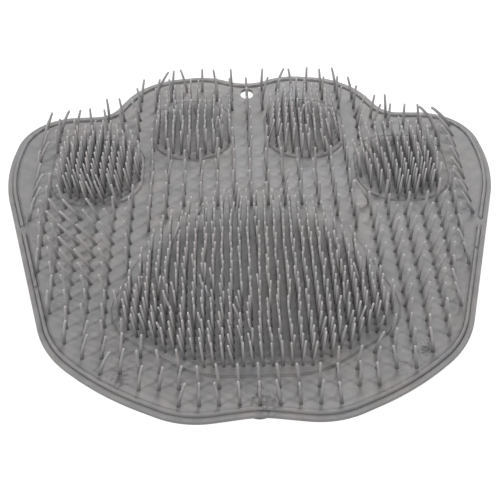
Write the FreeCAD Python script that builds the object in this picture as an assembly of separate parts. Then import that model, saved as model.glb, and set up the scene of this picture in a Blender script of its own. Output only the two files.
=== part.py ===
import FreeCAD, Part
import math
import os

# Foot massage mat in the outline of a paw, moulded in one piece from soft rubber.
# X is across the mat, +Y points to the toes, +Z up. The origin is on the floor, below the middle
# of the outline. The mat stands on the lips of its suction cups. Millimetres.

Vector = FreeCAD.Vector

# Kind of join that keeps an outline's corners sharp when the outline is moved in or out
SHARP_CORNERS = 2

# Round stretches of an outline are chords that turn by at most this many degrees
CHORD_TURN = 12.0

# Sheet and rim
SHEET_THICKNESS = 2.2
FLANGE_WIDTH = 3.2
BEAD_WIDTH = 2.2
BEAD_HEIGHT = 1.6
BEAD_GAP_Y = -3.5
BEAD_GAP_LENGTH = 7.0

# Right half of the outline from the toe notch to the heel: x, y and radius of each corner
NOTCH_Y = 137.0
HEEL_Y = -143.5
OUTLINE_CORNERS = [
    (0.0, NOTCH_Y, 28.0),
    (26.0, 148.5, 39.0),
    (70.0, 142.5, 47.0),
    (91.0, 104.0, 16.0),
    (143.5, 102.0, 36.0),
    (152.5, 42.5, 114.0),
    (112.5, -100.5, 60.0),
    (80.0, -129.0, 160.0),
    (38.5, -149.0, 50.0),
    (0.0, HEEL_Y, 56.0),
]

# Pads: low steps on the sheet that carry the dense bristles
PAD_HEIGHT = 0.8
PALM_CORNERS = [
    (50.0, 9.0, 40.0),
    (84.5, -82.0, 28.0),
    (32.0, -119.5, 50.0),
]
INNER_TOE_CENTRE = (36.2, 87.5)
INNER_TOE_SIZE = (52.0, 63.0)
OUTER_TOE_CENTRE = (94.5, 46.0)
OUTER_TOE_SIZE = (58.0, 64.0)
TOE_CORNER_RADIUS = 24.0

# Bristles: slender spikes on a lattice with twice the columns and rows on the pads
COLUMN_PITCH = 10.15
ROW_PITCH = 10.7
FRONT_ROW_SETBACK = 6.5
DENSE_PER_PITCH = 2
BRISTLE_LENGTH = 18.3
BRISTLE_ROOT_RADIUS = 0.95
BRISTLE_SIDES = 3
FIELD_SETBACK = 13.1
PAD_MARGIN = 4.6
ROOT_CLEARANCE = 0.4

# Lean of the bristles, as sideways travel for each millimetre of height:
# the lean at the middle, what it gains towards the right edge, and its twist towards the back right
SHEET_LEAN = (-0.12, 0.09, 0.0)
PALM_LEAN = (-0.03, 0.0, -0.55)
INNER_TOE_LEAN = (0.04, -0.26, 0.0)
LEFT_OUTER_TOE_LEAN = (-0.10, 0.04, 0.0)
RIGHT_OUTER_TOE_LEAN = (-0.12, 0.20, 0.0)

# Suction cups
CUP_HEIGHT = 7.0
CUP_LIP_RADIUS = 8.5
CUP_LIP_WIDTH = 1.1
CUP_RECESS_DEPTH = 2.6
CUP_NECK_RADIUS = 4.0
CUP_SIDES = 12
HEEL_CUP_SETBACK = 12.5
MIDDLE_CUP_Y = 20.0
SIDE_CUPS = [
    (58.0, -122.0),
    (104.0, -72.0),
    (122.0, -8.0),
    (128.0, 62.0),
    (62.0, 124.0),
]

# Hang hole: a slot across the mat's thickness, close inside the bead at the toe notch
HANG_HOLE_WIDTH = 8.6
HANG_HOLE_LENGTH = 11.4
HANG_HOLE_TO_BEAD = 1.3

SHEET_TOP = CUP_HEIGHT + SHEET_THICKNESS
PAD_TOP = SHEET_TOP + PAD_HEIGHT
RIM_WIDTH = FLANGE_WIDTH + BEAD_WIDTH
FRONT_ROW_Y = HEEL_Y + FRONT_ROW_SETBACK
HALF_WIDTH = max(corner[0] for corner in OUTLINE_CORNERS)


def mirrored(corners):
    """Corners of the whole outline from those of its right half."""
    left = [(-x, y, radius) for x, y, radius in reversed(corners) if x > 0.0]
    return list(corners) + left


def rounding(before, corner, after, radius):
    """Points on the arc of this radius that rounds a corner."""
    to_before = (before - corner).normalize()
    to_after = (after - corner).normalize()
    half_angle = to_before.getAngle(to_after) / 2.0
    reach = radius / math.tan(half_angle)
    bisector = (to_before + to_after).normalize()
    middle = corner + bisector * (radius / math.sin(half_angle) - radius)
    arc = Part.Arc(corner + to_before * reach, middle, corner + to_after * reach)
    chords = math.ceil((180.0 - math.degrees(2.0 * half_angle)) / CHORD_TURN)
    return arc.toShape().discretize(Number=chords + 1)


def polygon_face(corners):
    """Flat face with these corners."""
    return Part.Face(Part.makePolygon(corners + corners[:1]))


def rounded_face(corners, z):
    """Flat face with its corners rounded to these radii."""
    points = [Vector(x, y, z) for x, y, radius in corners]
    count = len(points)
    edge_points = []
    for i in range(count):
        edge_points += rounding(points[i - 1], points[i], points[(i + 1) % count], corners[i][2])
    return polygon_face(edge_points)


def toe_face(centre_x, centre_y, size, z):
    """Flat oval face of a toe pad: a rectangle with wide round corners."""
    corners = []
    for across, along in [(-0.5, -0.5), (0.5, -0.5), (0.5, 0.5), (-0.5, 0.5)]:
        corners.append((centre_x + across * size[0], centre_y + along * size[1], TOE_CORNER_RADIUS))
    return rounded_face(corners, z)


def grown(face, distance):
    """Face with its edge moved outwards, or inwards for a negative distance."""
    return face.makeOffset2D(distance, SHARP_CORNERS)


def pads(z):
    """Face and lean of each pad at height z."""
    inner_x, inner_y = INNER_TOE_CENTRE
    outer_x, outer_y = OUTER_TOE_CENTRE
    return [
        (rounded_face(mirrored(PALM_CORNERS), z), PALM_LEAN),
        (toe_face(-inner_x, inner_y, INNER_TOE_SIZE, z), INNER_TOE_LEAN),
        (toe_face(inner_x, inner_y, INNER_TOE_SIZE, z), INNER_TOE_LEAN),
        (toe_face(-outer_x, outer_y, OUTER_TOE_SIZE, z), LEFT_OUTER_TOE_LEAN),
        (toe_face(outer_x, outer_y, OUTER_TOE_SIZE, z), RIGHT_OUTER_TOE_LEAN),
    ]


def rim_bead(outline):
    """Raised bead behind the flange, broken by a short gap at each side."""
    outer = grown(outline, -FLANGE_WIDTH)
    inner = grown(outline, -RIM_WIDTH)
    ring = outer.cut(inner).extrude(Vector(0, 0, BEAD_HEIGHT))
    width = 4.0 * HALF_WIDTH
    corner = Vector(-width / 2.0, BEAD_GAP_Y - BEAD_GAP_LENGTH / 2.0, SHEET_TOP)
    return ring.cut(Part.makeBox(width, BEAD_GAP_LENGTH, BEAD_HEIGHT, corner))


def notch_edge_y():
    """Where the outline crosses the middle of the mat at the toe notch."""
    x, y, radius = OUTLINE_CORNERS[0]
    next_x, next_y, next_radius = OUTLINE_CORNERS[1]
    arc = rounding(Vector(-next_x, next_y, 0), Vector(x, y, 0), Vector(next_x, next_y, 0), radius)
    return min(point.y for point in arc)


def hang_slot_face(z):
    """Flat face of the hang slot, long along Y."""
    radius = HANG_HOLE_WIDTH / 2.0
    reach = HANG_HOLE_LENGTH / 2.0 - radius
    middle_y = notch_edge_y() - RIM_WIDTH - HANG_HOLE_TO_BEAD - HANG_HOLE_LENGTH / 2.0
    low = Vector(0, middle_y - reach, z)
    high = Vector(0, middle_y + reach, z)
    side = Vector(radius, 0, 0)
    edges = [
        Part.Arc(low - side, low - Vector(0, radius, 0), low + side).toShape(),
        Part.LineSegment(low + side, high + side).toShape(),
        Part.Arc(high + side, high + Vector(0, radius, 0), high - side).toShape(),
        Part.LineSegment(high - side, low - side).toShape(),
    ]
    return Part.Face(Part.Wire(edges))


def regular_polygon(centre, radius, sides):
    """Corners of a level regular polygon, one of them towards the heel."""
    corners = []
    for i in range(sides):
        turn = 2.0 * math.pi * i / sides - math.pi / 2.0
        corners.append(centre + Vector(math.cos(turn), math.sin(turn), 0) * radius)
    return corners


def spike(base, tip):
    """Pyramid on a level base."""
    faces = [polygon_face(base)]
    for i in range(len(base)):
        faces.append(polygon_face([base[i - 1], base[i], tip]))
    return Part.Solid(Part.Shell(faces))


def frustum(lower, upper):
    """Pyramid cut short, between two level polygons with as many corners."""
    faces = [polygon_face(lower), polygon_face(upper)]
    for i in range(len(lower)):
        faces.append(polygon_face([lower[i - 1], lower[i], upper[i], upper[i - 1]]))
    return Part.Solid(Part.Shell(faces))


def suction_cup(x, y):
    """Cup that flares from its neck below the sheet to its lip, hollowed to a shallow cone."""
    foot = Vector(x, y, 0)
    lip = regular_polygon(foot, CUP_LIP_RADIUS, CUP_SIDES)
    neck = regular_polygon(foot + Vector(0, 0, CUP_HEIGHT), CUP_NECK_RADIUS, CUP_SIDES)
    hollow = regular_polygon(foot, CUP_LIP_RADIUS - CUP_LIP_WIDTH, CUP_SIDES)
    return frustum(lip, neck).cut(spike(hollow, foot + Vector(0, 0, CUP_RECESS_DEPTH)))


def cup_places():
    """Centre of each suction cup."""
    places = [(0.0, HEEL_Y + HEEL_CUP_SETBACK), (0.0, MIDDLE_CUP_Y)]
    for x, y in SIDE_CUPS:
        places += [(-x, y), (x, y)]
    return places


def lean_at(lean, point, box):
    """Sideways travel for each millimetre of height at a point within a box."""
    middle, gain, twist = lean
    across = 2.0 * (point.x - box.Center.x) / box.XLength
    along = 2.0 * (point.y - box.Center.y) / box.YLength
    return middle + gain * across + twist * across * along


def bristle(root, lean):
    """Bristle with its tip carried sideways by the lean."""
    base = regular_polygon(root, BRISTLE_ROOT_RADIUS, BRISTLE_SIDES)
    return spike(base, root + Vector(lean * BRISTLE_LENGTH, 0, BRISTLE_LENGTH))


def inside(face, point):
    """True where a point lies within a flat face."""
    return face.isInside(point, 0.001, True)


def lattice(per_pitch, box, z):
    """Places of the bristle lattice over a box, with so many steps to each pitch."""
    column_step = COLUMN_PITCH / per_pitch
    row_step = ROW_PITCH / per_pitch
    first_column = math.ceil(box.XMin / column_step)
    last_column = math.floor(box.XMax / column_step)
    first_row = math.ceil((box.YMin - FRONT_ROW_Y) / row_step)
    last_row = math.floor((box.YMax - FRONT_ROW_Y) / row_step)
    points = []
    for row in range(first_row, last_row + 1):
        for column in range(first_column, last_column + 1):
            points.append(Vector(column * column_step, FRONT_ROW_Y + row * row_step, z))
    return points


def pad_bristles():
    """Dense bristles of every pad."""
    bristles = []
    for face, lean in pads(PAD_TOP):
        field = grown(face, -PAD_MARGIN)
        for point in lattice(DENSE_PER_PITCH, field.BoundBox, PAD_TOP):
            if inside(field, point):
                bristles.append(bristle(point, lean_at(lean, point, face.BoundBox)))
    return bristles


def sheet_bristles(outline):
    """Sparse bristles of the sheet, clear of the rim, the pads and the hang hole."""
    clearance = BRISTLE_ROOT_RADIUS + ROOT_CLEARANCE
    field = grown(outline, -RIM_WIDTH - clearance)
    kept_clear = [grown(face, clearance) for face, lean in pads(SHEET_TOP)]
    kept_clear.append(grown(hang_slot_face(SHEET_TOP), clearance))
    bristles = []
    for point in lattice(1, field.BoundBox, SHEET_TOP):
        if abs(point.x) > outline.BoundBox.XMax - FIELD_SETBACK or not inside(field, point):
            continue
        if any(inside(face, point) for face in kept_clear):
            continue
        bristles.append(bristle(point, lean_at(SHEET_LEAN, point, outline.BoundBox)))
    return bristles


def mat_body():
    """Sheet with its rim, pads, cups and hang hole, without bristles."""
    outline = rounded_face(mirrored(OUTLINE_CORNERS), CUP_HEIGHT)
    sheet = outline.extrude(Vector(0, 0, SHEET_THICKNESS))
    top_outline = rounded_face(mirrored(OUTLINE_CORNERS), SHEET_TOP)
    details = [rim_bead(top_outline)]
    details += [face.extrude(Vector(0, 0, PAD_HEIGHT)) for face, lean in pads(SHEET_TOP)]
    details += [suction_cup(x, y) for x, y in cup_places()]
    body = sheet.multiFuse(details)
    body = body.cut(hang_slot_face(CUP_HEIGHT).extrude(Vector(0, 0, SHEET_THICKNESS)))
    return body.removeSplitter()


def massage_mat():
    """The whole moulding as one solid."""
    outline = rounded_face(mirrored(OUTLINE_CORNERS), SHEET_TOP)
    bristles = pad_bristles() + sheet_bristles(outline)
    body = mat_body().multiFuse(bristles)
    return body.Solids[0]


os.makedirs("parts", exist_ok=True)
massage_mat().exportStep("parts/massage_mat.step")
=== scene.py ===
import math
import random

import bmesh
import bpy
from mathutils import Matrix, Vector


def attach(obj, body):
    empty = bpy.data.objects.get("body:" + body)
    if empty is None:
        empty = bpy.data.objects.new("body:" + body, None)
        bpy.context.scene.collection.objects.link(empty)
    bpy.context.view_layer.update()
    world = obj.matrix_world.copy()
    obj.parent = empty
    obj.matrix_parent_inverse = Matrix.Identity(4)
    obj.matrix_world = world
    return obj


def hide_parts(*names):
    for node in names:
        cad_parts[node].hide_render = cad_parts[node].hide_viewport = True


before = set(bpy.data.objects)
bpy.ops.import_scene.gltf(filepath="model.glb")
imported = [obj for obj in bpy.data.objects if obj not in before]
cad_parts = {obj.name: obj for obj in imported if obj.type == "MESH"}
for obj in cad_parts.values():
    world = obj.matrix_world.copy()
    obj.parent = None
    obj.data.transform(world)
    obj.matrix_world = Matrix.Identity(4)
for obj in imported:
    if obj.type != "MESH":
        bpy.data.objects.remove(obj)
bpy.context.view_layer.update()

bl_info = {
    "name": "Foot massage mat",
    "version": (1, 0, 0),
    "blender": (4, 5, 0),
    "location": "View3D > Sidebar > Massage Mat",
    "description": "Builds a paw-outlined rubber bristle mat around its construction model",
    "category": "Add Mesh",
}

# Lengths are in millimetres until they are multiplied by MM. X is across the mat, +Y to the toes.
MM = 0.001
BODY = "root"
SEED = 7

# Right half of the outline from the toe notch to the heel: x, y and radius of each corner
OUTLINE_CORNERS = [
    (0.0, 137.0, 28.0),
    (26.0, 148.5, 39.0),
    (70.0, 142.5, 47.0),
    (91.0, 104.0, 16.0),
    (143.5, 102.0, 36.0),
    (152.5, 42.5, 114.0),
    (112.5, -100.5, 60.0),
    (80.0, -129.0, 160.0),
    (38.5, -149.0, 50.0),
    (0.0, -143.5, 56.0),
]
PALM_CORNERS = [
    (50.0, 9.0, 40.0),
    (84.5, -82.0, 28.0),
    (32.0, -119.5, 50.0),
]
INNER_TOE_CENTRE = (36.2, 87.5)
INNER_TOE_SIZE = (52.0, 63.0)
OUTER_TOE_CENTRE = (94.5, 46.0)
OUTER_TOE_SIZE = (58.0, 64.0)
TOE_CORNER_RADIUS = 24.0

# Blocks of dense bristles: the area that they fill, and the place of one bristle in it
INNER_BLOCK_CENTRE = (35.5, 86.6)
INNER_BLOCK_SIZE = (49.0, 60.2)
INNER_BLOCK_START = (12.69, 57.2)
OUTER_BLOCK_CENTRE = (93.0, 44.9)
OUTER_BLOCK_SIZE = (50.5, 60.2)
OUTER_BLOCK_START = (68.51, 15.5)
PALM_BLOCK_START = (2.5375, -112.9)
PALM_MARGIN = 4.1

UNDERSIDE = 7.0
SHEET_TOP = 9.2
PAD_TOP = 10.0
PAD_ROOT = 0.4
BRISTLE_TIPS = 27.8
RIM_WIDTH = 5.4
BEAD_GAP_Y = -6.5
BEAD_JOINTS_Y = (-55.0, -30.0)
BEAD_JOINT_REACH = 1.0

# Lattice of the sparse bristles, and how far they keep from rim, pads and hang hole
FRONT_ROW_Y = -137.0
FIELD_HALF_WIDTH = 137.0
FIELD_HALF_LENGTH = 150.0
BRISTLE_CLEARANCE = 1.35

HANG_HOLE_CENTRE = (0.0, 127.2)
HANG_HOLE_SIZE = (8.6, 11.4)

HEEL_CUP = (0.0, -131.0)
MIDDLE_CUP = (0.0, 20.0)
SIDE_CUPS = [
    (58.0, -122.0),
    (104.0, -72.0),
    (122.0, -8.0),
    (128.0, 62.0),
    (62.0, 124.0),
]

# Patches of sparse bristles combed to one side: lean, centre and reach
LEAN_PATCHES = [
    (-0.42, -94.0, -26.0, 17.0, 36.0),
    (-0.3, -104.0, 0.0, 14.0, 15.0),
    (0.16, -82.0, -102.0, 22.0, 16.0),
    (-0.09, 0.0, -131.0, 34.0, 9.0),
    (0.2, -41.0, -131.0, 7.0, 9.0),
    (0.15, 100.0, -25.0, 24.0, 48.0),
    (0.16, 94.0, -41.0, 9.0, 9.0),
    (0.14, 101.0, -73.0, 9.0, 9.0),
    (-0.16, 71.0, 7.0, 8.0, 9.0),
    (0.34, 56.0, -100.0, 11.0, 9.0),
    (-0.28, -76.0, 98.0, 12.0, 14.0),
    (0.32, 76.0, 98.0, 14.0, 14.0),
    (0.26, -134.0, 40.0, 9.0, 44.0),
    (-0.42, 134.0, 52.0, 10.0, 40.0),
    (0.28, -125.0, 86.0, 13.0, 13.0),
    (0.24, -61.0, 128.0, 8.0, 12.0),
    (-0.15, -40.0, 133.0, 9.0, 10.0),
    (-0.3, 122.0, 84.0, 10.0, 14.0),
]

# Faint moulding rings on the sheet: centre, radius, first angle and sweep in degrees
RING_MARKS = [
    (-73.3, -118.3, 4.6, 20.0, 250.0),
    (-86.7, -110.1, 3.8, 200.0, 210.0),
    (63.5, -126.6, 3.6, 160.0, 180.0),
    (74.1, -115.8, 4.4, 0.0, 290.0),
    (87.0, -108.8, 3.4, 60.0, 200.0),
    (106.5, -83.5, 4.2, 90.0, 240.0),
    (115.1, -33.8, 4.4, 250.0, 160.0),
    (122.7, 47.1, 4.0, 180.0, 200.0),
    (-124.9, -14.7, 4.0, 300.0, 200.0),
    (-118.4, 15.8, 4.2, 80.0, 170.0),
]
SWIRL_CENTRE = (87.6, -101.5)

# Streaky dark smudges on the sheet: place and reach
SMUDGE_MARKS = [(3.0, -136.0, 22.0), (-70.0, -119.0, 16.0), (88.0, -104.0, 13.0), (-112.0, -12.0, 12.0)]

# Each rubber finish: brightness beside the rubber colour, and roughness. The bristles' higher brightness is
# painted light on their sides, and the cups' lower brightness is painted shade.
FINISHES_AND_PAINTED_LIGHT = {
    "rubber_sheet": (1.0, 0.5),
    "rubber_pads": (1.0, 0.5),
    "rubber_cups": (0.75, 0.5),
    "rubber_bristles": (1.5, 0.36),
    "rubber_dense_bristles": (1.62, 0.36),
}

# Name, direction from the heel and height angle in degrees, distance and size in metres, share of power
LIGHTS = [
    ("left_key", -56.0, 32.0, 1.6, 0.3, 0.26),
    ("right_key", 54.0, 32.0, 1.6, 0.3, 0.21),
    ("front_fill", 0.0, 32.0, 1.8, 0.3, 0.12),
    ("back_light", 170.0, 50.0, 0.6, 0.3, 0.46),
    ("left_rim_light", -112.0, 30.0, 1.4, 0.3, 0.14),
]

# Place in metres, height angle and turn to the right in degrees, and lens in millimetres
CAMERA_PLACE = (-0.0137, -0.4501, 0.4185)
CAMERA_ELEVATION = 44.0
CAMERA_HEADING = 1.58
CAMERA_LENS = 73.8

# Loose hairs of moulding flash on the sheet: place, direction in degrees and length
FLASH_HAIRS = [
    (-54.0, 6.0, 20.0, 5.0),
    (-50.0, 4.5, 200.0, 4.0),
    (-12.5, 120.0, 80.0, 3.0),
    (65.0, 8.0, 130.0, 5.0),
    (68.0, 8.5, 320.0, 4.5),
    (132.0, 53.0, 100.0, 5.0),
]


def show_objects():
    """Object mode with nothing selected."""
    if bpy.context.mode != "OBJECT":
        bpy.ops.object.mode_set(mode="OBJECT")
    bpy.ops.object.select_all(action="DESELECT")


def select_only(piece):
    """The piece alone selected and active."""
    show_objects()
    piece.select_set(True)
    bpy.context.view_layer.objects.active = piece


def start_editing(piece, kind):
    """Edit mode on the piece, selecting by this kind of element, and its mesh."""
    select_only(piece)
    bpy.ops.object.mode_set(mode="EDIT")
    bpy.ops.mesh.select_mode(type=kind)
    bpy.ops.mesh.select_all(action="DESELECT")
    return bmesh.from_edit_mesh(piece.data)


def select_where(piece, mesh, elements, test):
    """Selects the elements that pass the test and no others."""
    bpy.ops.mesh.select_all(action="DESELECT")
    found = 0
    for element in elements:
        if test(element):
            element.select_set(True)
            found += 1
    if not found:
        raise RuntimeError(f"{piece.name}: nothing was found to select")
    mesh.select_flush_mode()
    bmesh.update_edit_mesh(piece.data)


def finish_piece(piece, name, material, smooth_degrees=40.0):
    """Name, shading, finish and body of a finished piece."""
    select_only(piece)
    bpy.ops.object.transform_apply(location=True, rotation=True, scale=True)
    bpy.ops.object.shade_smooth_by_angle(angle=math.radians(smooth_degrees))
    piece.name = name
    piece.data.name = name
    piece.data.materials.clear()
    piece.data.materials.append(material)
    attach(piece, BODY)
    return piece


def mirrored(corners):
    """Corners of the whole outline from those of its right half."""
    left = [(-x, y, radius) for x, y, radius in reversed(corners) if x > 0.0]
    return list(corners) + left


def rounded_outline(corners, turn_step=4.0, run_step=2.0):
    """Points along an outline with rounded corners, arcs and straight runs both divided."""
    points = [Vector((x, y)) for x, y, radius in corners]
    count = len(points)
    outline = []
    for i in range(count):
        corner, radius = points[i], corners[i][2]
        to_before = (points[i - 1] - corner).normalized()
        to_after = (points[(i + 1) % count] - corner).normalized()
        half_angle = to_before.angle(to_after) / 2.0
        reach = radius / math.tan(half_angle)
        centre = corner + (to_before + to_after).normalized() * (radius / math.sin(half_angle))
        start = corner + to_before * reach - centre
        turn = math.pi - 2.0 * half_angle
        if to_before.cross(to_after) < 0.0:
            turn = -turn
        steps_by_turn = math.ceil(abs(math.degrees(turn)) / turn_step)
        steps_by_run = math.ceil(abs(turn) * radius / run_step)
        steps = max(2, steps_by_turn, steps_by_run)
        arc = []
        for k in range(steps + 1):
            angle = -turn * k / steps
            cosine, sine = math.cos(angle), math.sin(angle)
            turned = (start.x * cosine - start.y * sine, start.x * sine + start.y * cosine)
            arc.append(centre + Vector(turned))
        if outline:
            outline += divided_run(outline[-1], arc[0], run_step)
        outline += arc
    outline += divided_run(outline[-1], outline[0], run_step)
    return outline


def divided_run(start, end, step):
    """Points between the ends of a straight run."""
    parts = math.floor((end - start).length / step)
    return [start.lerp(end, k / parts) for k in range(1, parts)]


def mat_outline():
    """Outline of the whole mat."""
    return rounded_outline(mirrored(OUTLINE_CORNERS))


def extent(outline):
    """Lowest and highest corner of an outline's box."""
    across = [point.x for point in outline]
    along = [point.y for point in outline]
    return (min(across), min(along)), (max(across), max(along))


def toe_corners(centre, size):
    """Corners of a toe pad: a rectangle with wide round corners."""
    x, y = centre
    half_width, half_length = size[0] / 2.0, size[1] / 2.0
    signs = [(-1, -1), (-1, 1), (1, 1), (1, -1)]
    return [(x + a * half_width, y + b * half_length, TOE_CORNER_RADIUS) for a, b in signs]


def pad_outlines():
    """Outline of each pad by its name."""
    inner_x, inner_y = INNER_TOE_CENTRE
    outer_x, outer_y = OUTER_TOE_CENTRE
    corners = {
        "palm_pad": mirrored(PALM_CORNERS),
        "left_inner_toe_pad": toe_corners((-inner_x, inner_y), INNER_TOE_SIZE),
        "right_inner_toe_pad": toe_corners((inner_x, inner_y), INNER_TOE_SIZE),
        "left_outer_toe_pad": toe_corners((-outer_x, outer_y), OUTER_TOE_SIZE),
        "right_outer_toe_pad": toe_corners((outer_x, outer_y), OUTER_TOE_SIZE),
    }
    return {name: rounded_outline(outline) for name, outline in corners.items()}


def dense_blocks():
    """Area of each pad's dense bristles by pad name, with the place of one bristle in it."""
    blocks = {"palm_pad": (rounded_outline(mirrored(PALM_CORNERS)), PALM_BLOCK_START, PALM_MARGIN)}
    toes = [
        ("inner_toe_pad", INNER_BLOCK_CENTRE, INNER_BLOCK_SIZE, INNER_BLOCK_START),
        ("outer_toe_pad", OUTER_BLOCK_CENTRE, OUTER_BLOCK_SIZE, OUTER_BLOCK_START),
    ]
    for name, (x, y), size, (first_x, first_y) in toes:
        for side, sign in (("left", -1), ("right", 1)):
            area = rounded_outline(toe_corners((sign * x, y), size))
            blocks[f"{side}_{name}"] = (area, (sign * first_x, first_y), 0.0)
    return blocks


def signed_gap(outline, x, y):
    """Distance from a point to an outline, positive inside it."""
    nearest = math.inf
    inside = False
    for a, b in zip(outline, outline[1:] + outline[:1]):
        run = b - a
        along = ((x - a.x) * run.x + (y - a.y) * run.y) / max(run.length_squared, 1e-12)
        along = min(1.0, max(0.0, along))
        nearest = min(nearest, math.hypot(a.x + run.x * along - x, a.y + run.y * along - y))
        if (a.y > y) != (b.y > y) and x < a.x + (y - a.y) * run.x / run.y:
            inside = not inside
    return nearest if inside else -nearest


def raise_selected(millimetres):
    """Extrudes the selected faces straight up."""
    bpy.ops.mesh.extrude_region_move(TRANSFORM_OT_translate={"value": (0.0, 0.0, millimetres * MM)})


def turn_outwards():
    """Selects every face of the piece in edit mode and turns it outwards."""
    bpy.ops.mesh.select_all(action="SELECT")
    bpy.ops.mesh.normals_make_consistent(inside=False)


def finish_editing():
    """Faces outwards, and back to object mode."""
    turn_outwards()
    bpy.ops.object.mode_set(mode="OBJECT")


def outlined_plate(name, outline, bottom, top):
    """Plate with this outline between two heights, shaped from a circle, and its mesh in edit mode."""
    show_objects()
    bpy.ops.mesh.primitive_circle_add(vertices=len(outline), radius=MM, fill_type="NGON")
    piece = bpy.context.object
    piece.name = name
    mesh = start_editing(piece, "VERT")
    mesh.verts.ensure_lookup_table()
    for vert, point in zip(mesh.verts, outline):
        vert.co = (point.x * MM, point.y * MM, bottom * MM)
    turn_outwards()
    bmesh.update_edit_mesh(piece.data)
    raise_selected(top - bottom)
    turn_outwards()
    return piece, mesh


def largest_top(mesh):
    """The largest face that looks straight up."""
    upper = [face for face in mesh.faces if face.normal.z > 0.99]
    return max(upper, key=lambda face: face.calc_area())


def inset_top(piece, mesh, width, depth=0.0):
    """Insets the largest top face by this width and lifts it by this depth, in metres."""
    top = largest_top(mesh)
    bpy.ops.mesh.select_all(action="DESELECT")
    top.select_set(True)
    mesh.faces.active = top
    bmesh.update_edit_mesh(piece.data)
    bpy.ops.mesh.inset(thickness=width, depth=depth)


def colour_ramp(nodes, stops):
    """Colour ramp with these places and colours."""
    ramp = nodes.new("ShaderNodeValToRGB")
    elements = ramp.color_ramp.elements
    while len(elements) < len(stops):
        elements.new(0.5)
    for element, (place, colour) in zip(elements, stops):
        element.position = place
        element.color = (*colour, 1.0)
    return ramp


def grey_ramp(nodes, levels):
    """Colour ramp of plain greys with these places and levels."""
    return colour_ramp(nodes, [(place, (level,) * 3) for place, level in levels])


def noise(nodes, links, coordinates, scale, detail=3.0, roughness=0.55):
    """Noise texture of this scale on these coordinates."""
    texture = nodes.new("ShaderNodeTexNoise")
    texture.inputs["Scale"].default_value = scale
    texture.inputs["Detail"].default_value = detail
    texture.inputs["Roughness"].default_value = roughness
    links.new(coordinates, texture.inputs["Vector"])
    return texture


def darkened(nodes, links, colour, shade, strength):
    """The colour multiplied by a shade, with this strength."""
    mixed = nodes.new("ShaderNodeMix")
    mixed.data_type = "RGBA"
    mixed.blend_type = "MULTIPLY"
    mixed.inputs["Factor"].default_value = strength
    links.new(colour, mixed.inputs["A"])
    links.new(shade, mixed.inputs["B"])
    return mixed.outputs["Result"]


def shaft_shade(nodes, links, coordinates, root_shade, painted_shade_reach):
    """Tone by height for the bristles: painted shade darkening the root, and a painted highlight at the tip.
    """
    parts = nodes.new("ShaderNodeSeparateXYZ")
    links.new(coordinates, parts.inputs["Vector"])
    height = nodes.new("ShaderNodeMapRange")
    height.inputs["From Min"].default_value = SHEET_TOP * MM
    height.inputs["From Max"].default_value = BRISTLE_TIPS * MM
    links.new(parts.outputs["Z"], height.inputs["Value"])
    middle = 0.45 + 0.55 * root_shade
    levels = [(0.0, root_shade), (painted_shade_reach, middle), (painted_shade_reach + 0.3, 0.98), (0.9, 1.12), (1.0, 1.34)]
    shade = grey_ramp(nodes, levels)
    links.new(height.outputs["Result"], shade.inputs["Fac"])
    return shade.outputs["Color"]


def spot_shade(nodes, links, coordinates, centre, reach):
    """Streaky dark spot round a place on the sheet, dying away at its reach."""
    away = nodes.new("ShaderNodeVectorMath")
    away.operation = "DISTANCE"
    away.inputs[1].default_value = (centre[0] * MM, centre[1] * MM, SHEET_TOP * MM)
    links.new(coordinates, away.inputs[0])
    near = nodes.new("ShaderNodeMapRange")
    near.inputs["From Max"].default_value = reach * MM
    near.inputs["To Min"].default_value = 0.25
    near.inputs["To Max"].default_value = -0.35
    links.new(away.outputs["Value"], near.inputs["Value"])
    streaks = noise(nodes, links, coordinates, 420.0, 3.0, 0.6)
    total = nodes.new("ShaderNodeMath")
    links.new(near.outputs["Result"], total.inputs[0])
    links.new(streaks.outputs["Fac"], total.inputs[1])
    shade = grey_ramp(nodes, [(0.58, 1.0), (0.68, 0.56)])
    links.new(total.outputs["Value"], shade.inputs["Fac"])
    return shade.outputs["Color"]


def block_shade(nodes, links, coordinates, area, margin, darkest):
    """Painted shade between one block's dense bristles, a darker tone gone past the block's edge."""
    inner_edge, outer_edge = 0.84, 1.08
    (low_x, low_y), (high_x, high_y) = extent(area)
    low = Vector((low_x + margin, low_y + margin, 0.0))
    high = Vector((high_x - margin, high_y - margin, 2.0))
    centred = nodes.new("ShaderNodeMapping")
    centred.vector_type = "TEXTURE"
    centred.inputs["Location"].default_value = (low + high) / 2.0 * MM
    centred.inputs["Scale"].default_value = (high - low) / 2.0 * MM
    links.new(coordinates, centred.inputs["Vector"])
    flat = nodes.new("ShaderNodeVectorMath")
    flat.operation = "MULTIPLY"
    flat.inputs[1].default_value = (1.0, 1.0, 0.0)
    links.new(centred.outputs["Vector"], flat.inputs[0])
    away = nodes.new("ShaderNodeVectorMath")
    away.operation = "LENGTH"
    links.new(flat.outputs["Vector"], away.inputs[0])
    shade = nodes.new("ShaderNodeMapRange")
    shade.inputs["From Min"].default_value = inner_edge
    shade.inputs["From Max"].default_value = outer_edge
    shade.inputs["To Min"].default_value = darkest
    links.new(away.outputs["Value"], shade.inputs["Value"])
    return shade.outputs["Result"]


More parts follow.
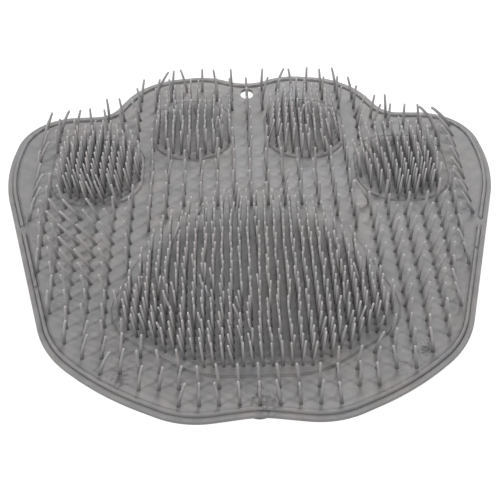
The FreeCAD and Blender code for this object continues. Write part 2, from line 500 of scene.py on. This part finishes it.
def rubber_material(name, settings):
    """Soft moulded rubber: grey with warm and cool patches, faint smudges, a fine satin grain and painted
    shade and highlights.
    """
    lift, roughness = FINISHES_AND_PAINTED_LIGHT[name]
    material = bpy.data.materials.new(name)
    material.use_nodes = True
    nodes, links = material.node_tree.nodes, material.node_tree.links
    shader = nodes["Principled BSDF"]
    place = nodes.new("ShaderNodeTexCoord").outputs["Object"]

    base = settings.colour
    # The lift brightens the bristles as painted light and darkens the cups as painted shade
    warm = [c * k * lift for c, k in zip(base, (1.03, 1.0, 0.985))]
    cool = [c * k * lift for c, k in zip(base, (0.975, 0.995, 1.02))]
    patches = noise(nodes, links, place, 48.0, 2.0)
    tint = colour_ramp(nodes, [(0.38, cool), (0.62, warm)])
    links.new(patches.outputs["Fac"], tint.inputs["Fac"])

    clouds = noise(nodes, links, place, 95.0, 4.0)
    shade = grey_ramp(nodes, [(0.3, 0.84), (0.7, 1.1)])
    links.new(clouds.outputs["Fac"], shade.inputs["Fac"])
    colour = darkened(nodes, links, tint.outputs["Color"], shade.outputs["Color"], settings.mottling)

    stains = noise(nodes, links, place, 62.0, 5.0, 0.65)
    stain = grey_ramp(nodes, [(0.3, 0.72), (0.39, 1.0)])
    links.new(stains.outputs["Fac"], stain.inputs["Fac"])
    colour = darkened(nodes, links, colour, stain.outputs["Color"], settings.smudges)
    for x, y, reach in SMUDGE_MARKS:
        stain = spot_shade(nodes, links, place, (x, y), reach)
        colour = darkened(nodes, links, colour, stain, min(1.0, 1.5 * settings.smudges))
    # Painted shade between the dense bristles of each pad's block
    if "pads" in name:
        for pad_name, (area, _, margin) in dense_blocks().items():
            darkest = 0.58 if "outer" in pad_name else 0.8
            shade = block_shade(nodes, links, place, area, margin, darkest)
            colour = darkened(nodes, links, colour, shade, 1.0)
    # Painted shade towards each bristle's root and a painted highlight at its tip
    if "bristles" in name:
        root_shade, painted_shade_reach = (0.2, 0.32) if "dense" in name else (0.3, 0.2)
        shade = shaft_shade(nodes, links, place, root_shade, painted_shade_reach)
        colour = darkened(nodes, links, colour, shade, 1.0)
    links.new(colour, shader.inputs["Base Color"])

    polish = noise(nodes, links, place, 60.0, 3.0)
    gloss = nodes.new("ShaderNodeMapRange")
    gloss.inputs["To Min"].default_value = roughness - 0.08
    gloss.inputs["To Max"].default_value = roughness + 0.08
    links.new(polish.outputs["Fac"], gloss.inputs["Value"])
    links.new(gloss.outputs["Result"], shader.inputs["Roughness"])

    grain = noise(nodes, links, place, 1400.0, 2.0)
    bump = nodes.new("ShaderNodeBump")
    bump.inputs["Strength"].default_value = 0.12
    bump.inputs["Distance"].default_value = 0.0002
    links.new(grain.outputs["Fac"], bump.inputs["Height"])
    links.new(bump.outputs["Normal"], shader.inputs["Normal"])
    shader.inputs["IOR"].default_value = 1.5
    shader.inputs["Specular IOR Level"].default_value = 0.42
    return material


def material_once(name, settings):
    """The material of this name, made when it is first asked for."""
    return bpy.data.materials.get(name) or rubber_material(name, settings)


class MatFinish(bpy.types.PropertyGroup):
    colour: bpy.props.FloatVectorProperty(
        name="Rubber colour",
        description="Colour of the moulded rubber",
        default=(0.309, 0.302, 0.303),
        subtype="COLOR",
        min=0.0,
        max=1.0,
    )
    mottling: bpy.props.FloatProperty(
        name="Mottling",
        description="Strength of the cloudy light and dark patches",
        default=0.7,
        subtype="FACTOR",
        min=0.0,
        max=1.0,
    )
    smudges: bpy.props.FloatProperty(
        name="Smudges",
        description="Strength of the dark smudges left by water and dirt",
        default=0.6,
        subtype="FACTOR",
        min=0.0,
        max=1.0,
    )


class MatSheetSizes(bpy.types.PropertyGroup):
    edge_radius: bpy.props.FloatProperty(
        name="Edge radius",
        description="Rounding of the sheet's outer edge",
        default=0.5 * MM,
        unit="LENGTH",
        precision=5,
    )
    flange_width: bpy.props.FloatProperty(
        name="Flange width",
        description="Flat flange outside the raised bead",
        default=3.2 * MM,
        unit="LENGTH",
        precision=5,
    )
    bead_width: bpy.props.FloatProperty(
        name="Bead width",
        description="Width of the raised bead",
        default=2.0 * MM,
        unit="LENGTH",
        precision=5,
    )
    bead_height: bpy.props.FloatProperty(
        name="Bead height",
        description="Height of the raised bead over the sheet",
        default=1.6 * MM,
        unit="LENGTH",
        precision=5,
    )
    groove_width: bpy.props.FloatProperty(
        name="Groove width",
        description="Width of the groove beside the bead on both sides",
        default=0.42 * MM,
        unit="LENGTH",
        precision=5,
    )
    groove_depth: bpy.props.FloatProperty(
        name="Groove depth",
        description="Depth of the groove beside the bead",
        default=0.55 * MM,
        unit="LENGTH",
        precision=5,
    )
    bead_gap: bpy.props.FloatProperty(
        name="Bead gap",
        description="Length of the break in the bead at each side",
        default=6.5 * MM,
        unit="LENGTH",
        precision=5,
    )


class BristleSizes(bpy.types.PropertyGroup):
    length: bpy.props.FloatProperty(
        name="Length",
        description="Length of a bristle along its middle line",
        default=18.3 * MM,
        unit="LENGTH",
        precision=5,
    )
    root_diameter: bpy.props.FloatProperty(
        name="Root diameter",
        description="Thickness of a bristle near its root",
        default=1.9 * MM,
        unit="LENGTH",
        precision=5,
    )
    tip_diameter: bpy.props.FloatProperty(
        name="Tip diameter",
        description="Thickness of a bristle below its round tip",
        default=1.38 * MM,
        unit="LENGTH",
        precision=5,
    )
    pad_share: bpy.props.FloatProperty(
        name="Pad share",
        description="Thickness of a dense bristle beside that of a sparse one",
        default=0.8,
        subtype="FACTOR",
        min=0.2,
        max=1.0,
    )
    column_pitch: bpy.props.FloatProperty(
        name="Column pitch",
        description="Distance between columns on the sheet, halved on the pads",
        default=10.15 * MM,
        unit="LENGTH",
        precision=5,
    )
    row_pitch: bpy.props.FloatProperty(
        name="Row pitch",
        description="Distance between rows on the sheet, halved on the pads",
        default=10.7 * MM,
        unit="LENGTH",
        precision=5,
    )
    unevenness: bpy.props.FloatProperty(
        name="Unevenness",
        description="How far single bristles stray from the lean of their neighbours",
        default=math.radians(3.4),
        subtype="ANGLE",
    )


class StageSettings(bpy.types.PropertyGroup):
    light_power: bpy.props.FloatProperty(
        name="Light power",
        description="Power of a light of full share at one metre from the mat",
        default=12.0,
        unit="POWER",
    )
    surround: bpy.props.FloatProperty(
        name="Surround",
        description="Brightness of the pale surround",
        default=0.15,
        subtype="FACTOR",
        min=0.0,
        max=2.0,
    )
    floor_colour: bpy.props.FloatVectorProperty(
        name="Floor colour",
        description="Colour of the plain floor",
        default=(0.3, 0.3, 0.3),
        subtype="COLOR",
        min=0.0,
        max=1.0,
    )


class MAT_OT_sheet(bpy.types.Operator):
    """Build the base sheet with its flange, raised bead and hang hole"""

    bl_idname = "massage_mat.sheet"
    bl_label = "Sheet and Rim"

    def execute(self, context):
        sizes = context.scene.mat_sheet_sizes
        sheet, mesh = outlined_plate("mat_sheet", mat_outline(), UNDERSIDE, SHEET_TOP)
        bpy.ops.mesh.select_mode(type="EDGE")
        select_where(sheet, mesh, mesh.edges, lambda edge: edge.is_manifold and self.is_rim_edge(edge))
        bpy.ops.mesh.bevel(offset=sizes.edge_radius, segments=3, clamp_overlap=False)
        bpy.ops.mesh.select_mode(type="FACE")
        self.inset_rings(sheet, mesh, sizes)
        self.raise_bead(sheet, mesh, sizes)
        finish_editing()
        self.cut_hang_hole(sheet)
        finish_piece(sheet, "mat_sheet", material_once("rubber_sheet", context.scene.mat_finish))
        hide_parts("massage_mat")
        return {"FINISHED"}

    def is_rim_edge(self, edge):
        """True for the long edges round the sheet, top and bottom."""
        first, second = edge.verts
        return abs(first.co.z - second.co.z) < 0.1 * MM

    def inset_rings(self, sheet, mesh, sizes):
        """Rings of the upper face that bound the flange, the grooves and the bead."""
        crease = 0.12 * MM
        groove, bead = sizes.groove_width, sizes.bead_width
        flange = sizes.flange_width - sizes.edge_radius - groove - 2.0 * crease
        for width in (crease, flange, crease, groove, bead, groove, crease, crease):
            inset_top(sheet, mesh, width)

    def raise_bead(self, sheet, mesh, sizes):
        """Sinks the grooves, extrudes the bead between them and rounds it over."""
        outline = mat_outline()
        middle = sizes.flange_width + sizes.bead_width / 2.0
        groove_middle = (sizes.bead_width + sizes.groove_width) / 2.0
        far_off = 1.0
        top = largest_top(mesh)

        def from_middle(face):
            """Distance of a ring's face from the bead's middle line, or far off for any other face."""
            centre = face.calc_center_median()
            in_gap = abs(centre.y - BEAD_GAP_Y * MM) < sizes.bead_gap / 2.0
            if face is top or face.normal.z < 0.99 or in_gap:
                return far_off
            return abs(signed_gap(outline, centre.x / MM, centre.y / MM) * MM - middle)

        def on_groove(face):
            return abs(from_middle(face) - groove_middle) < 0.3 * sizes.groove_width

        def on_bead(face):
            centre = face.calc_center_median()
            joint = BEAD_JOINTS_Y[1] if centre.x > 0.0 else BEAD_JOINTS_Y[0]
            at_joint = abs(centre.y - joint * MM) < BEAD_JOINT_REACH * MM
            return not at_joint and from_middle(face) < 0.2 * sizes.bead_width

        select_where(sheet, mesh, mesh.faces, on_groove)
        raise_selected(-sizes.groove_depth / MM)
        top = largest_top(mesh)
        select_where(sheet, mesh, mesh.faces, on_bead)
        raise_selected(sizes.bead_height / MM)
        self.round_bead(sheet, mesh, sizes)

    def round_bead(self, sheet, mesh, sizes):
        """Rounds the bead's ends in plan, then its crest."""
        level = SHEET_TOP * MM + sizes.bead_height

        def at_level(vert):
            return abs(vert.co.z - level) < 0.05 * MM

        def on_end_corner(edge):
            if at_level(edge.verts[0]) == at_level(edge.verts[1]) or len(edge.link_faces) != 2:
                return False
            return edge.calc_face_angle(0.0) > 1.0

        def on_crest(edge):
            return all(map(at_level, edge.verts)) and any(face.normal.z < 0.5 for face in edge.link_faces)

        bpy.ops.mesh.select_mode(type="EDGE")
        select_where(sheet, mesh, mesh.edges, on_end_corner)
        bpy.ops.mesh.bevel(offset=0.45 * sizes.bead_width, segments=3, clamp_overlap=False)
        select_where(sheet, mesh, mesh.edges, on_crest)
        bpy.ops.mesh.bevel(offset=0.4 * sizes.bead_width, segments=4, clamp_overlap=False)

    def cut_hang_hole(self, sheet):
        """Cuts the upright slot near the toe notch."""
        x, y = HANG_HOLE_CENTRE
        width, length = HANG_HOLE_SIZE
        radius = width / 2.0
        reach = length / 2.0 - radius
        corner_count = 32
        overlap = 2.0
        slot = []
        for k in range(corner_count):
            angle = -2.0 * math.pi * k / corner_count
            shift = reach if math.sin(angle) > -1e-6 else -reach
            slot.append(Vector((x + radius * math.cos(angle), y + radius * math.sin(angle) + shift)))
        cutter, _ = outlined_plate("slot_cutter", slot, UNDERSIDE - overlap, SHEET_TOP + overlap)
        select_only(sheet)
        cut = sheet.modifiers.new("slot", "BOOLEAN")
        cut.operation = "DIFFERENCE"
        cut.solver = "EXACT"
        cut.object = cutter
        bpy.ops.object.modifier_apply(modifier=cut.name)
        bpy.data.objects.remove(cutter)


class MAT_OT_pads(bpy.types.Operator):
    """Build the low pads that carry the dense bristles"""

    bl_idname = "massage_mat.pads"
    bl_label = "Pads"

    def execute(self, context):
        finish = context.scene.mat_finish
        for name, outline in pad_outlines().items():
            pad, mesh = outlined_plate(name, outline, SHEET_TOP - PAD_ROOT, PAD_TOP)
            self.sink_line(pad, mesh)
            if name == "palm_pad":
                self.fade_line(pad, mesh)
            bpy.ops.mesh.select_mode(type="EDGE")
            select_where(pad, mesh, mesh.edges, self.is_shoulder)
            bpy.ops.mesh.bevel(offset=0.3 * MM, segments=2, clamp_overlap=False)
            finish_editing()
            finish_piece(pad, name, material_once("rubber_pads", finish))
        return {"FINISHED"}

    def sink_line(self, pad, mesh):
        """Narrow groove just inside the pad's edge: land, outer wall, floor and inner wall."""
        for width, depth in ((0.5, 0.0), (0.05, -0.5), (0.28, 0.0), (0.05, 0.5)):
            inset_top(pad, mesh, width * MM, depth * MM)

    def fade_line(self, pad, mesh):
        """Fills the groove up again towards the toes, where it doesn't show."""
        bpy.ops.mesh.select_mode(type="VERT")
        highest = (PAD_TOP - 0.3) * MM
        lowest = (SHEET_TOP + 0.1) * MM
        rise = 0.13 * MM
        for start_y in (-60.0, -45.0, -30.0):

            def in_groove(vert):
                return lowest < vert.co.z < highest and vert.co.y > start_y * MM

            select_where(pad, mesh, mesh.verts, in_groove)
            bpy.ops.transform.translate(value=(0.0, 0.0, rise))
            highest += rise

    def is_shoulder(self, edge):
        """True for the edge between the pad's side wall and its top."""
        level = PAD_TOP * MM
        if any(abs(vert.co.z - level) > 0.05 * MM for vert in edge.verts):
            return False
        return any(abs(face.normal.z) < 0.1 for face in edge.link_faces)


class MAT_OT_cups(bpy.types.Operator):
    """Build the suction cups below the sheet"""

    bl_idname = "massage_mat.cups"
    bl_label = "Suction Cups"

    def execute(self, context):
        places = [HEEL_CUP, MIDDLE_CUP]
        for x, y in SIDE_CUPS:
            places += [(-x, y), (x, y)]
        finish = context.scene.mat_finish
        for number, (x, y) in enumerate(places, 1):
            finish_piece(self.cup(x, y), f"suction_cup_{number:02d}", material_once("rubber_cups", finish))
        return {"FINISHED"}

    def cup(self, x, y):
        """Cup turned ring by ring from its neck out to its lip and back up into its hollow."""
        profile = [
            (3.9, UNDERSIDE + 0.3),
            (3.5, 6.4),
            (3.6, 5.4),
            (4.6, 3.7),
            (6.2, 2.0),
            (7.7, 0.8),
            (8.45, 0.25),
            (8.5, 0.05),
            (8.3, 0.0),
            (7.6, 0.1),
            (6.2, 1.0),
            (4.0, 2.0),
            (1.6, 2.5),
        ]
        show_objects()
        radius, height = profile[0]
        bpy.ops.mesh.primitive_circle_add(
            vertices=32, radius=radius * MM, fill_type="NGON", location=(x * MM, y * MM, height * MM)
        )
        cup = bpy.context.object
        start_editing(cup, "EDGE")
        bpy.ops.mesh.select_all(action="SELECT")
        turn_rings(profile, MM, (x * MM, y * MM, 0.0))
        bpy.ops.mesh.edge_face_add()
        finish_editing()
        return cup


def turn_rings(profile, unit, centre):
    """Extrudes the selected ring to each further radius and height of the profile, given in this unit."""
    for (radius, height), (next_radius, next_height) in zip(profile, profile[1:]):
        bpy.ops.mesh.extrude_edges_move(
            TRANSFORM_OT_translate={"value": (0.0, 0.0, (next_height - height) * unit)}
        )
        ratio = next_radius / radius
        bpy.ops.transform.resize(value=(ratio, ratio, 1.0), center_override=centre)


def model_bristle(sizes, share=1.0, sides=7):
    """One upright bristle on the origin: round, slightly tapered, with a flared root and a round tip."""
    root = share * sizes.root_diameter / 2.0
    tip = share * sizes.tip_diameter / 2.0
    length = sizes.length
    profile = [
        (root * 1.35, -0.3 * MM),
        (root * 1.05, 0.5 * MM),
        (root * 0.97, length * 0.22),
        (root * 0.93, length * 0.42),
        (root * 0.5 + tip * 0.5, length * 0.62),
        (tip * 1.04, length * 0.82),
        (tip, length - tip * 0.9),
        (tip * 0.72, length - tip * 0.28),
    ]
    show_objects()
    radius, height = profile[0]
    bpy.ops.mesh.primitive_circle_add(
        vertices=sides, radius=radius, fill_type="NGON", location=(0.0, 0.0, height)
    )
    bristle = bpy.context.object
    mesh = start_editing(bristle, "EDGE")
    bpy.ops.mesh.select_all(action="SELECT")
    turn_rings(profile, 1.0, (0.0, 0.0, 0.0))
    bpy.ops.mesh.edge_face_add()
    bpy.ops.mesh.select_mode(type="FACE")
    turn_outwards()
    select_where(bristle, mesh, mesh.faces, lambda face: face.normal.z > 0.99)
    bpy.ops.mesh.poke(offset=tip * 0.28)
    finish_editing()
    bpy.ops.object.transform_apply(location=True, rotation=True, scale=True)
    return bristle


def bent_copy(bristle, root, side_lean, fore_lean, side_bend, fore_bend, length):
    """Copy of the bristle that stands on its root, leaning and curling by these angles."""
    copy = bristle.copy()
    copy.data = bristle.data.copy()
    bpy.context.scene.collection.objects.link(copy)
    tilt = math.sqrt(1.0 + side_lean * side_lean + fore_lean * fore_lean)
    straight_at = 0.35
    for vert in copy.data.vertices:
        height = max(0.0, vert.co.z)
        share = height / length
        x_angle = side_lean + side_bend * (share - straight_at)
        y_angle = fore_lean + fore_bend * (share - straight_at)
        middle_x = height * (side_lean + side_bend * (share / 2.0 - straight_at))
        middle_y = height * (fore_lean + fore_bend * (share / 2.0 - straight_at))
        base_drop = min(0.0, vert.co.z)
        vert.co = (
            root.x + middle_x + vert.co.x,
            root.y + middle_y + vert.co.y,
            root.z + height / tilt + base_drop - vert.co.x * x_angle - vert.co.y * y_angle,
        )
    return copy


def join_bristles(copies, name, material):
    """One piece from all the copies."""
    show_objects()
    for copy in copies:
        copy.select_set(True)
    bpy.context.view_layer.objects.active = copies[0]
    bpy.ops.object.join()
    return finish_piece(copies[0], name, material, 60.0)


def lattice(start, step_x, step_y, low, high):
    """Places of a bristle lattice through this start within a box, row by row from the heel."""
    first_row = math.ceil((low[1] - start[1]) / step_y)
    last_row = math.floor((high[1] - start[1]) / step_y)
    first_column = math.ceil((low[0] - start[0]) / step_x)
    last_column = math.floor((high[0] - start[0]) / step_x)
    for row in range(first_row, last_row + 1):
        for column in range(first_column, last_column + 1):
            yield start[0] + column * step_x, start[1] + row * step_y


def bump_at(x, y, centre_x, centre_y, reach_x, reach_y):
    """Smooth hill of height 1 over a place, dying away over its reach."""
    across = (x - centre_x) / reach_x
    along = (y - centre_y) / reach_y
    return math.exp(-across * across - along * along)


def outward_normal(outline, x, y):
    """Direction from a place towards the nearest point of the outline."""
    nearest = min(outline, key=lambda point: (point.x - x) ** 2 + (point.y - y) ** 2)
    return (nearest - Vector((x, y))).normalized()


def sheet_lean(outline, x, y):
    """Sideways lean of the sparse bristles at a place: inwards along the rim, combed in patches elsewhere."""
    lean = -0.0024 * x * bump_at(x, y, 0.0, 35.0, 75.0, 42.0)
    for height, centre_x, centre_y, reach_x, reach_y in LEAN_PATCHES:
        lean += height * bump_at(x, y, centre_x, centre_y, reach_x, reach_y)
    to_rim = signed_gap(outline, x, y)
    rim_pull = math.exp(-((max(0.0, to_rim - 9.0) / 7.0) ** 2))
    lean -= (0.26 + 0.0011 * x) * outward_normal(outline, x, y).x * rim_pull
    return lean


def pad_lean(name, across, along):
    """Sideways lean of the dense bristles at a place within their pad, both from -1 to 1."""
    if name == "palm_pad":
        swirl = -0.03 - 0.30 * across * along - 0.08 * across * abs(across)
        return swirl - 0.11 * bump_at(across, along, 0.06, -0.62, 0.25, 0.3)
    if name == "left_inner_toe_pad":
        return 0.035 - 0.02 * across
    if name == "right_inner_toe_pad":
        return -0.03 - 0.21 * across
    if name == "left_outer_toe_pad":
        return -0.04 + 0.13 * along
    return -0.12 + 0.08 * across - 0.15 * along - 0.15 * bump_at(across, along, -0.5, 0.1, 0.35, 0.35)


class MAT_OT_pad_bristles(bpy.types.Operator):
    """Build the dense bristles of every pad"""

    bl_idname = "massage_mat.pad_bristles"
    bl_label = "Pad Bristles"

    def execute(self, context):
        sizes = context.scene.bristle_sizes
        finish = context.scene.mat_finish
        chance = random.Random(SEED)
        bristle = model_bristle(sizes, sizes.pad_share)
        for name, block in dense_blocks().items():
            copies = self.pad_copies(bristle, name, block, sizes, chance)
            material = material_once("rubber_dense_bristles", finish)
            join_bristles(copies, name.replace("_pad", "_bristles"), material)
        bpy.data.objects.remove(bristle)
        return {"FINISHED"}

    def pad_copies(self, bristle, name, block, sizes, chance):
        """A bent copy of the bristle at each place of the pad's lattice."""
        area, start, margin = block
        low, high = extent(area)
        step_x, step_y = sizes.column_pitch / MM / 2.0, sizes.row_pitch / MM / 2.0
        usual_spread = sizes.unevenness * (0.6 if name == "palm_pad" else 0.45)
        stray_spread = sizes.unevenness * 2.4
        stray_share = 0.02 if name == "left_inner_toe_pad" else 0.05
        copies = []
        for x, y in lattice(start, step_x, step_y, low, high):
            if signed_gap(area, x, y) < margin:
                continue
            across = (2.0 * x - low[0] - high[0]) / (high[0] - low[0])
            along = (2.0 * y - low[1] - high[1]) / (high[1] - low[1])
            # A few bristles lean well away from the rest
            spread = stray_spread if chance.random() < stray_share else usual_spread
            lean = pad_lean(name, across, along) + chance.gauss(0.0, spread)
            fore = chance.gauss(0.0, spread * 1.1)
            copies.append(
                bent_copy(
                    bristle,
                    Vector((x, y, PAD_TOP)) * MM,
                    lean,
                    fore,
                    chance.gauss(0.0, spread * 1.2),
                    chance.gauss(0.0, spread),
                    sizes.length,
                )
            )
        return copies


class MAT_OT_sheet_bristles(bpy.types.Operator):
    """Build the sparse bristles between the pads"""

    bl_idname = "massage_mat.sheet_bristles"
    bl_label = "Sheet Bristles"

    def execute(self, context):
        sizes = context.scene.bristle_sizes
        chance = random.Random(SEED + 1)
        bristle = model_bristle(sizes)
        outline = mat_outline()
        pads = pad_outlines().values()
        usual_spread, stray_spread, stray_share = 0.85, 1.9, 0.05
        copies = []
        step_x, step_y = sizes.column_pitch / MM, sizes.row_pitch / MM
        high = (FIELD_HALF_WIDTH, FIELD_HALF_LENGTH)
        low = (-FIELD_HALF_WIDTH, -FIELD_HALF_LENGTH)
        for x, y in lattice((0.0, FRONT_ROW_Y), step_x, step_y, low, high):
            if signed_gap(outline, x, y) < RIM_WIDTH + BRISTLE_CLEARANCE:
                continue
            if any(signed_gap(pad, x, y) > -BRISTLE_CLEARANCE for pad in pads):
                continue
            if self.near_hang_hole(x, y):
                continue
            spread = sizes.unevenness * (stray_spread if chance.random() < stray_share else usual_spread)
            lean = sheet_lean(outline, x, y) + chance.gauss(0.0, spread)
            copies.append(
                bent_copy(
                    bristle,
                    Vector((x, y, SHEET_TOP)) * MM,
                    lean,
                    chance.gauss(0.0, spread * 0.7),
                    lean * 0.8 + chance.gauss(0.0, spread * 1.6),
                    chance.gauss(0.0, spread),
                    sizes.length,
                )
            )
        material = material_once("rubber_bristles", context.scene.mat_finish)
        join_bristles(copies, "sheet_bristles", material)
        bpy.data.objects.remove(bristle)
        return {"FINISHED"}

    def near_hang_hole(self, x, y):
        """True where a bristle would stand in the hang hole or on its edge."""
        across, along = abs(x - HANG_HOLE_CENTRE[0]), abs(y - HANG_HOLE_CENTRE[1])
        width, length = HANG_HOLE_SIZE
        return across < width / 2.0 + BRISTLE_CLEARANCE and along < length / 2.0 + BRISTLE_CLEARANCE


class MAT_OT_marks(bpy.types.Operator):
    """Build the faint moulding rings and the hairs of flash on the sheet"""

    bl_idname = "massage_mat.marks"
    bl_label = "Moulding Marks"

    def execute(self, context):
        material = material_once("rubber_sheet", context.scene.mat_finish)
        rings = [self.ring(*mark) for mark in RING_MARKS]
        x, y = SWIRL_CENTRE
        rings += [self.ring(x, y, 4.8, 30.0, 300.0), self.ring(x, y, 2.7, 220.0, 280.0)]
        rings.append(self.dot(x, y, 1.0))
        join_bristles(rings, "moulding_rings", material)
        hairs = [self.hair(number, *place) for number, place in enumerate(FLASH_HAIRS)]
        join_bristles(hairs, "flash_hairs", material)
        return {"FINISHED"}

    def ring(self, x, y, radius, first, sweep):
        """Low ridge along part of a circle, with closed ends, half sunk in the sheet."""
        show_objects()
        bpy.ops.mesh.primitive_torus_add(
            major_segments=36,
            minor_segments=6,
            major_radius=radius * MM,
            minor_radius=0.42 * MM,
            location=(x * MM, y * MM, SHEET_TOP * MM),
        )
        ring = bpy.context.object
        ring.scale = (1.0, 1.0, 0.55)
        bpy.ops.object.transform_apply(location=True, rotation=True, scale=True)
        mesh = start_editing(ring, "FACE")

        def left_out(face):
            centre = face.calc_center_median()
            angle = math.degrees(math.atan2(centre.y / MM - y, centre.x / MM - x))
            return (angle - first) % 360.0 > sweep

        select_where(ring, mesh, mesh.faces, left_out)
        bpy.ops.mesh.delete(type="FACE")
        bpy.ops.mesh.select_all(action="SELECT")
        bpy.ops.mesh.fill_holes(sides=0)
        finish_editing()
        return ring

    def dot(self, x, y, radius):
        """Low round dot in the middle of a swirl."""
        show_objects()
        bpy.ops.mesh.primitive_uv_sphere_add(
            segments=16, ring_count=8, radius=radius * MM, location=(x * MM, y * MM, SHEET_TOP * MM)
        )
        dot = bpy.context.object
        dot.scale = (1.0, 1.0, 0.3)
        bpy.ops.object.transform_apply(location=True, rotation=True, scale=True)
        return dot

    def hair(self, number, x, y, direction, length):
        """Thin curled hair of flash lying on the sheet."""
        show_objects()
        bpy.ops.mesh.primitive_cylinder_add(vertices=6, radius=0.22 * MM, depth=length * MM)
        hair = bpy.context.object
        mesh = start_editing(hair, "EDGE")
        select_where(hair, mesh, mesh.edges, lambda edge: abs(edge.verts[0].co.z - edge.verts[1].co.z) > MM)
        bpy.ops.mesh.subdivide(number_cuts=12)
        bpy.ops.object.mode_set(mode="OBJECT")
        heading = math.radians(direction)
        curl = 1.6 if number % 2 else -2.2
        for vert in hair.data.vertices:
            share = vert.co.z / (length * MM) + 0.5
            turn = heading + curl * share
            reach = length * MM * share * (1.0 - 0.25 * share)
            rise = 0.25 * MM + 1.3 * MM * math.sin(math.pi * share)
            side = Vector((-math.sin(turn), math.cos(turn), 0.0)) * vert.co.x
            middle_x = x * MM + reach * math.cos(turn)
            middle_y = y * MM + reach * math.sin(turn)
            middle = Vector((middle_x, middle_y, SHEET_TOP * MM + rise))
            vert.co = middle + side + Vector((0.0, 0.0, vert.co.y))
        start_editing(hair, "FACE")
        finish_editing()
        return hair


class MAT_OT_stage(bpy.types.Operator):
    """Build the floor, the lights and the camera"""

    bl_idname = "massage_mat.stage"
    bl_label = "Stage"

    def execute(self, context):
        settings = context.scene.stage_settings
        self.floor(settings)
        self.lights(settings)
        self.camera()
        context.scene.view_settings.view_transform = "Standard"
        return {"FINISHED"}

    def floor(self, settings):
        """Plain pale floor with a soft glow that keeps shadows light."""
        show_objects()
        bpy.ops.mesh.primitive_plane_add(size=8.0)
        floor = bpy.context.object
        floor.name = "floor"
        material = bpy.data.materials.new("pale_floor")
        material.use_nodes = True
        shader = material.node_tree.nodes["Principled BSDF"]
        shader.inputs["Base Color"].default_value = (*settings.floor_colour, 1.0)
        shader.inputs["Roughness"].default_value = 0.9
        shader.inputs["Specular IOR Level"].default_value = 0.0
        shader.inputs["Emission Color"].default_value = (1.0, 1.0, 1.0, 1.0)
        shader.inputs["Emission Strength"].default_value = 0.9
        floor.data.materials.append(material)
        floor.visible_diffuse = False

    def lights(self, settings):
        """Square lights round the mat and a pale surround."""
        for name, azimuth, elevation, distance, size, share in LIGHTS:
            turn, rise = math.radians(azimuth), math.radians(elevation)
            level = math.cos(rise)
            way = Vector((math.sin(turn) * level, -math.cos(turn) * level, math.sin(rise)))
            show_objects()
            bpy.ops.object.light_add(type="AREA", location=way * distance)
            light = bpy.context.object
            light.name = name
            light.data.size = size
            light.data.energy = settings.light_power * share * distance**2
            light.rotation_euler = way.to_track_quat("Z", "Y").to_euler()
        world = bpy.data.worlds.new("surround")
        world.use_nodes = True
        background = world.node_tree.nodes["Background"]
        background.inputs["Color"].default_value = (1.0, 1.0, 1.0, 1.0)
        background.inputs["Strength"].default_value = settings.surround
        bpy.context.scene.world = world

    def camera(self):
        """Camera above the heel side, looking down towards the toes."""
        show_objects()
        bpy.ops.object.camera_add(location=CAMERA_PLACE)
        camera = bpy.context.object
        elevation, heading = math.radians(CAMERA_ELEVATION), math.radians(CAMERA_HEADING)
        camera.rotation_euler = (math.pi / 2.0 - elevation, 0.0, -heading)
        camera.data.lens = CAMERA_LENS
        camera.data.sensor_width = 36.0
        camera.data.clip_start = 0.01
        camera.data.clip_end = 50.0
        bpy.context.scene.camera = camera


class MAT_PT_panel(bpy.types.Panel):
    """Sidebar panel with every building step"""

    bl_idname = "MAT_PT_panel"
    bl_label = "Foot Massage Mat"
    bl_space_type = "VIEW_3D"
    bl_region_type = "UI"
    bl_category = "Massage Mat"

    def draw(self, context):
        scene = context.scene
        for group in (scene.mat_finish, scene.mat_sheet_sizes, scene.bristle_sizes, scene.stage_settings):
            box = self.layout.box()
            for name in group.__annotations__:
                box.prop(group, name)
        for operator in OPERATORS:
            self.layout.operator(operator.bl_idname)


GROUPS = {
    "mat_finish": MatFinish,
    "mat_sheet_sizes": MatSheetSizes,
    "bristle_sizes": BristleSizes,
    "stage_settings": StageSettings,
}
OPERATORS = (
    MAT_OT_sheet,
    MAT_OT_pads,
    MAT_OT_cups,
    MAT_OT_pad_bristles,
    MAT_OT_sheet_bristles,
    MAT_OT_marks,
    MAT_OT_stage,
)


def register():
    """Adds the settings, the operators and the panel."""
    for name, group in GROUPS.items():
        bpy.utils.register_class(group)
        setattr(bpy.types.Scene, name, bpy.props.PointerProperty(type=group))
    for operator in OPERATORS:
        bpy.utils.register_class(operator)
    bpy.utils.register_class(MAT_PT_panel)


def unregister():
    """Takes away what register added."""
    bpy.utils.unregister_class(MAT_PT_panel)
    for operator in reversed(OPERATORS):
        bpy.utils.unregister_class(operator)
    for name, group in GROUPS.items():
        delattr(bpy.types.Scene, name)
        bpy.utils.unregister_class(group)


def main():
    register()
    bpy.ops.massage_mat.sheet()
    bpy.ops.massage_mat.pads()
    bpy.ops.massage_mat.cups()
    bpy.ops.massage_mat.pad_bristles()
    bpy.ops.massage_mat.sheet_bristles()
    bpy.ops.massage_mat.marks()
    bpy.ops.massage_mat.stage()


if __name__ == "__main__":
    main()
